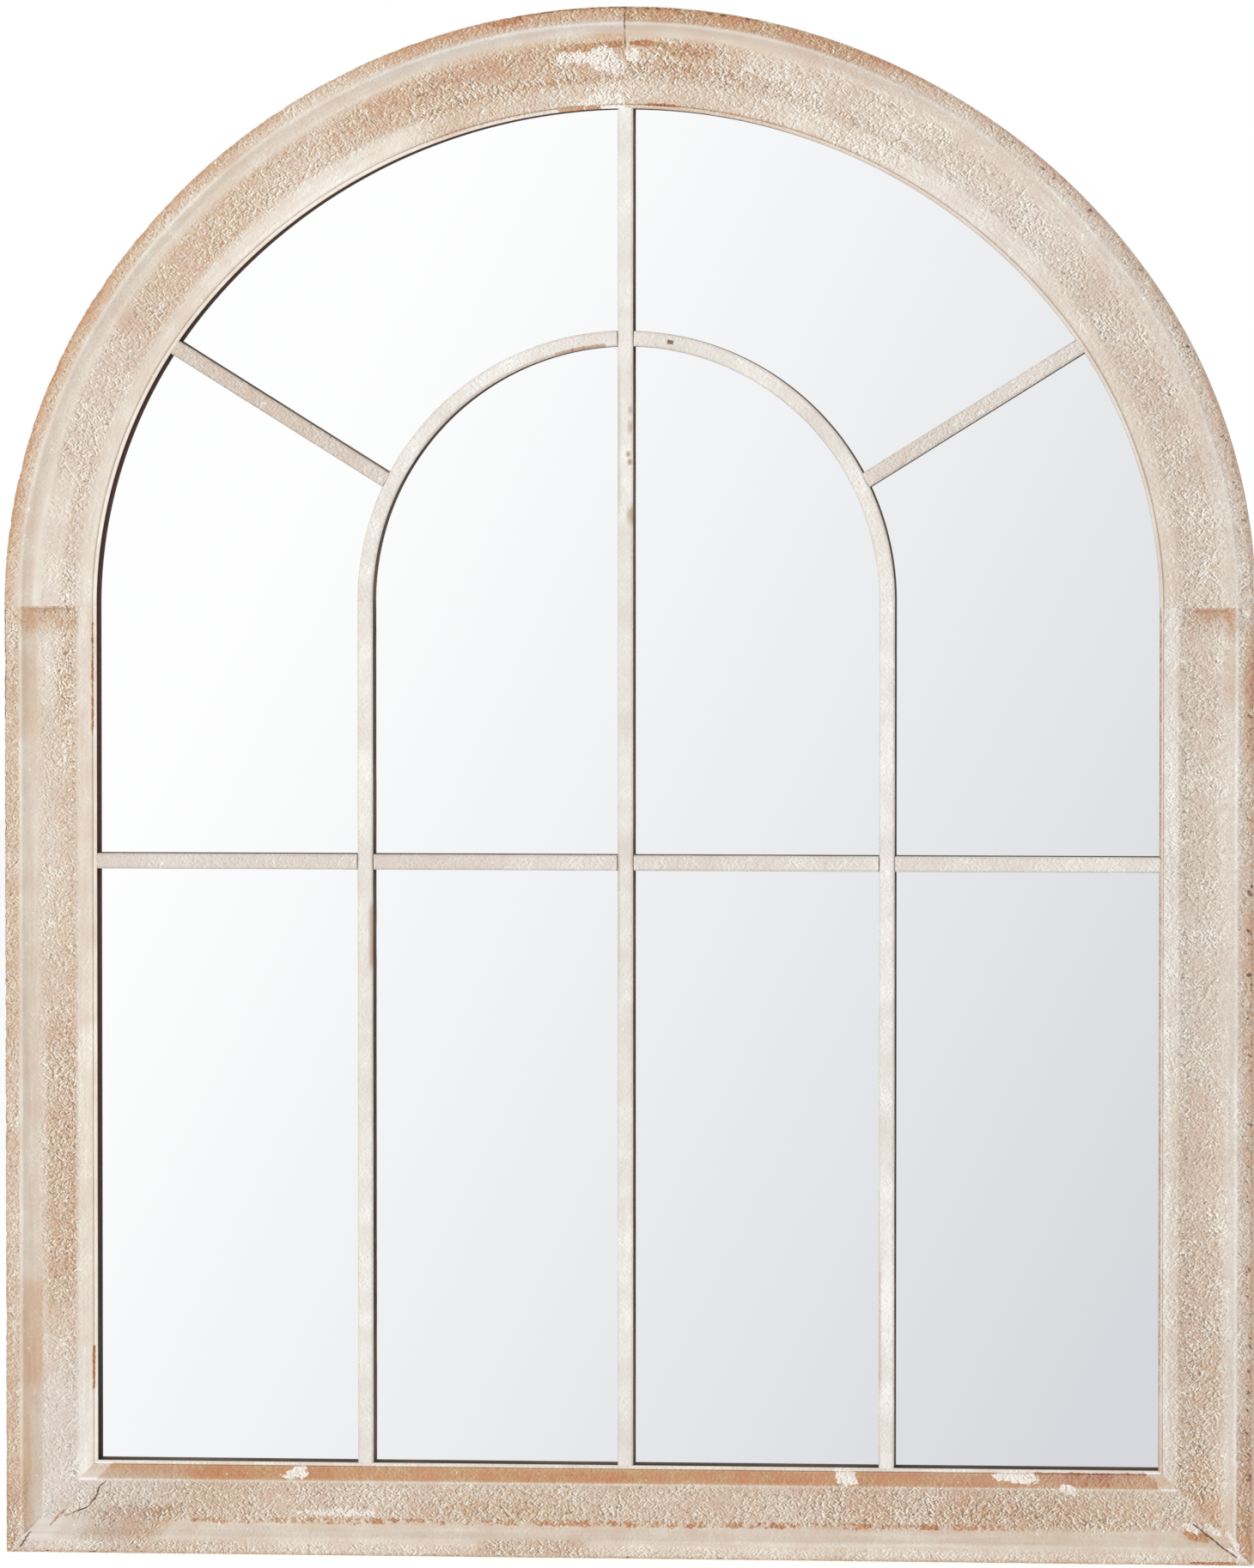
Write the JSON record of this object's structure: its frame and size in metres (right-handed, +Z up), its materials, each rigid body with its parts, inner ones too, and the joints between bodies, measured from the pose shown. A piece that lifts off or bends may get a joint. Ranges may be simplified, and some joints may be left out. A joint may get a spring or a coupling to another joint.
{
  "type": "arched window mirror",
  "caption": "Arched wall mirror in a moulded limewashed timber frame, with glazing bars over the glass like a window, a closed back and swinging D-rings for hanging.",
  "frame": {"origin": "centre of the underside of the bottom rail", "axes": "+Z up, front of the mirror towards -Y, +X to the right seen from the front"},
  "size_m": [0.8, 0.036, 0.99],
  "materials": {
    "limewashed_wood": "distressed limewash over brown stain, rough plaster-like coat in the hollow",
    "silvered_glass": "polished, silvered on the back",
    "dowel_beech": "plain turned",
    "backboard_mdf": "plain brown fibreboard",
    "cushion_paper": "grey-brown board",
    "zinc_steel": "zinc plated",
    "grey_rubber": "matt"
  },
  "bodies": {
    "frame": {"arch_left": "limewashed_wood", "arch_right": "limewashed_wood", "jamb_left": "limewashed_wood", "jamb_right": "limewashed_wood", "bottom_rail": "limewashed_wood", "spring_dowels": "dowel_beech", "apex_dowels": "dowel_beech", "mitre_v_nails": "zinc_steel", "centre_bar": "limewashed_wood", "side_bar_left": "limewashed_wood", "side_bar_right": "limewashed_wood", "hoop_arch": "limewashed_wood", "transom_bar": "limewashed_wood", "spoke_left": "limewashed_wood", "spoke_right": "limewashed_wood", "hoop_dowels": "dowel_beech", "mirror_plate": "silvered_glass", "setting_blocks": "grey_rubber", "cushion_sheet": "cushion_paper", "backboard": "backboard_mdf", "framer_tabs": "zinc_steel", "hanger_strap_left": "zinc_steel", "hanger_strap_right": "zinc_steel", "hanger_screws": "zinc_steel", "wall_bumper_left": "grey_rubber", "wall_bumper_right": "grey_rubber"},
    "ring_left": {"d_ring_left": "zinc_steel"},
    "ring_right": {"d_ring_right": "zinc_steel"}
  },
  "joints": [
    {"name": "ring_left_swing", "type": "hinge", "parent": "frame", "child": "ring_left", "pos_m": [-0.36765, 0.01768, 0.7], "axis": [1, 0, 0], "range_deg": [0, 176]},
    {"name": "ring_right_swing", "type": "hinge", "parent": "frame", "child": "ring_right", "pos_m": [0.36765, 0.01768, 0.7], "axis": [1, 0, 0], "range_deg": [0, 176]}
  ]
}
